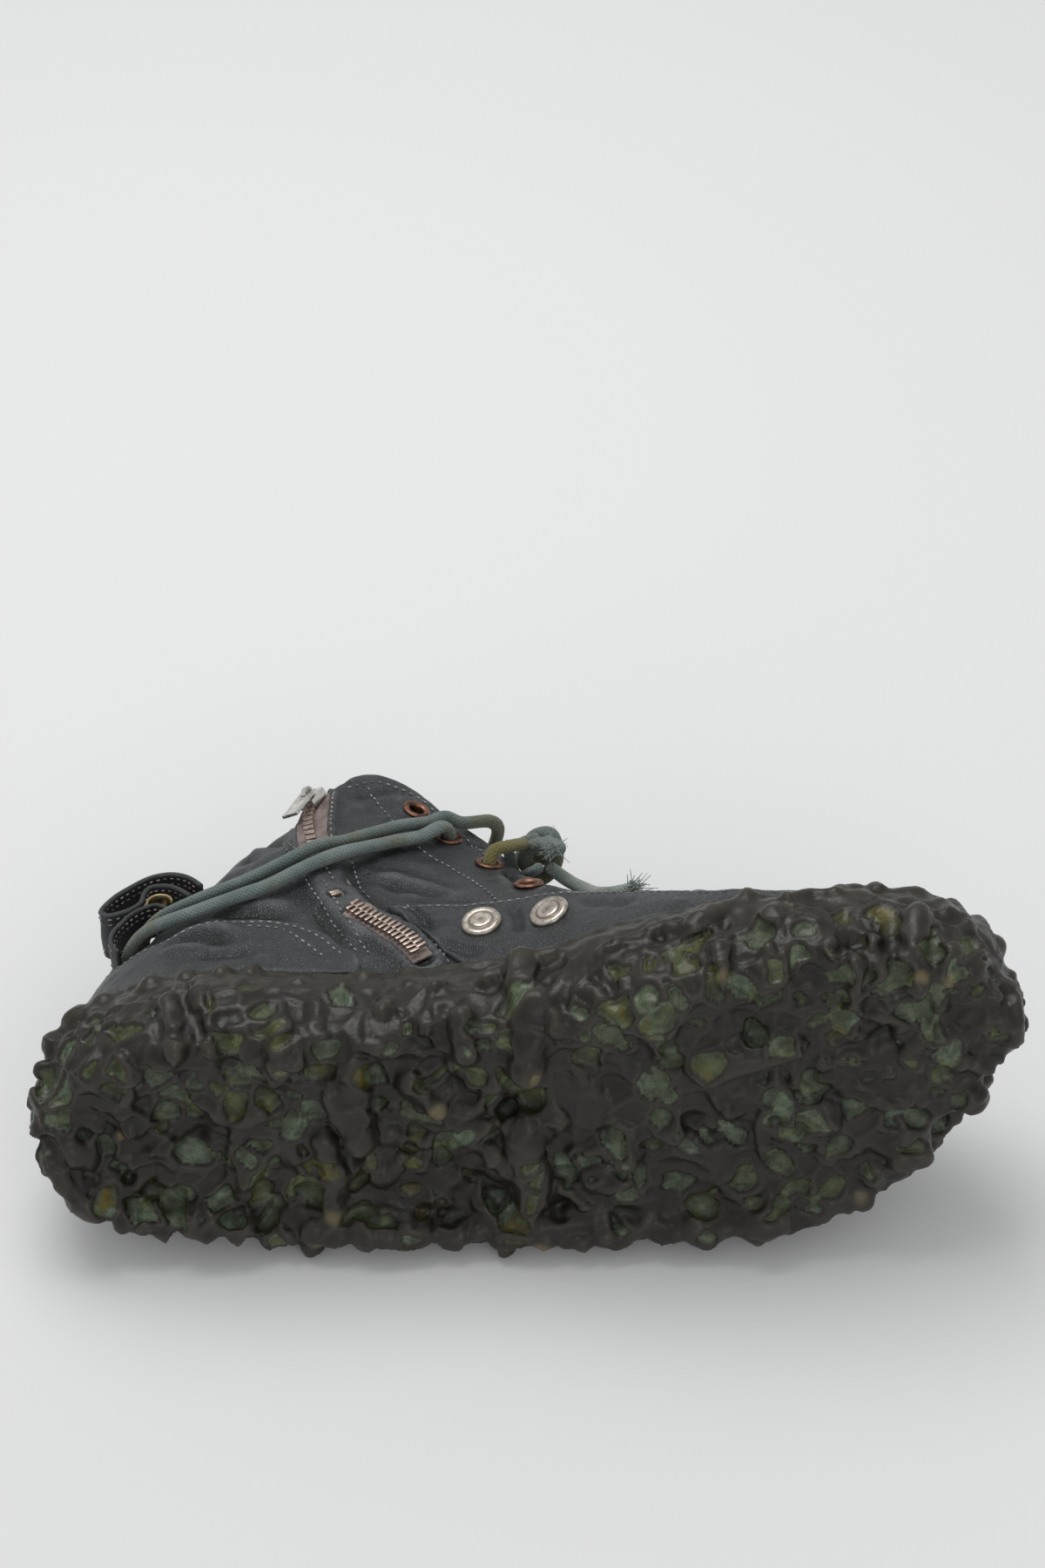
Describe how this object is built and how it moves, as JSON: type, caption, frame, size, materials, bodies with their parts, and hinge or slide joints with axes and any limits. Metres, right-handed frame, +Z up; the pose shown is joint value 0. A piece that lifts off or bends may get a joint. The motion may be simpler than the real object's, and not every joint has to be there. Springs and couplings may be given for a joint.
{
  "type": "leather sneaker",
  "caption": "Worn high leather sneaker for the left foot, lying on its side, with a thick dripping rubber sole, laces wound round the heel, snaps and a short side zip.",
  "frame": {"origin": "middle of the box in X and Y, at the floor that the shoe lies on", "axes": "+X from heel to toe, +Y from the tread towards the collar, +Z up, which is the shoe's inward side"},
  "size_m": [0.3086, 0.1696, 0.1171],
  "materials": {
    "rubber": "satin, with thin greenish places",
    "leather": "soft, washed and wrinkled, low sheen",
    "lining": "plain",
    "strap_leather": "rubbed, stitched edges",
    "copper": "worn copper",
    "nickel": "worn nickel",
    "brass": "aged brass",
    "tape": "woven",
    "lace": "woven cotton, washed",
    "lace_tip": "frayed cotton"
  },
  "bodies": {
    "shoe": {"outsole": "rubber", "upper": "leather", "insole": "lining", "tongue": "leather", "quarter_flap": "leather", "heel_counter": "leather", "eyelet_medial_1": "copper", "eyelet_medial_2": "copper", "eyelet_medial_3": "copper", "eyelet_medial_4": "copper", "eyelet_lateral_1": "copper", "eyelet_lateral_2": "copper", "eyelet_lateral_3": "copper", "eyelet_lateral_4": "copper", "snap_cap_1": "nickel", "snap_cap_2": "nickel", "zip_tape": "tape", "zip_chain": "nickel", "zip_slider": "nickel", "heel_pull_loop": "strap_leather", "heel_lace_loop": "strap_leather", "heel_ring": "brass", "lace_bars": "lace", "lace_wrap_1": "lace", "lace_wrap_2": "lace", "lace_knot": "lace", "lace_tail_1": "lace", "lace_tail_2": "lace_tip", "lace_strand": "lace"},
    "zip_pull": {"zip_pull": "nickel"}
  },
  "joints": [
    {"name": "zip_pull_hinge", "type": "hinge", "parent": "shoe", "child": "zip_pull", "pos_m": [-0.07753, 0.06763, 0.06312], "axis": [-0.7866, 0.2747, -0.553], "range_deg": [0, 150]}
  ]
}
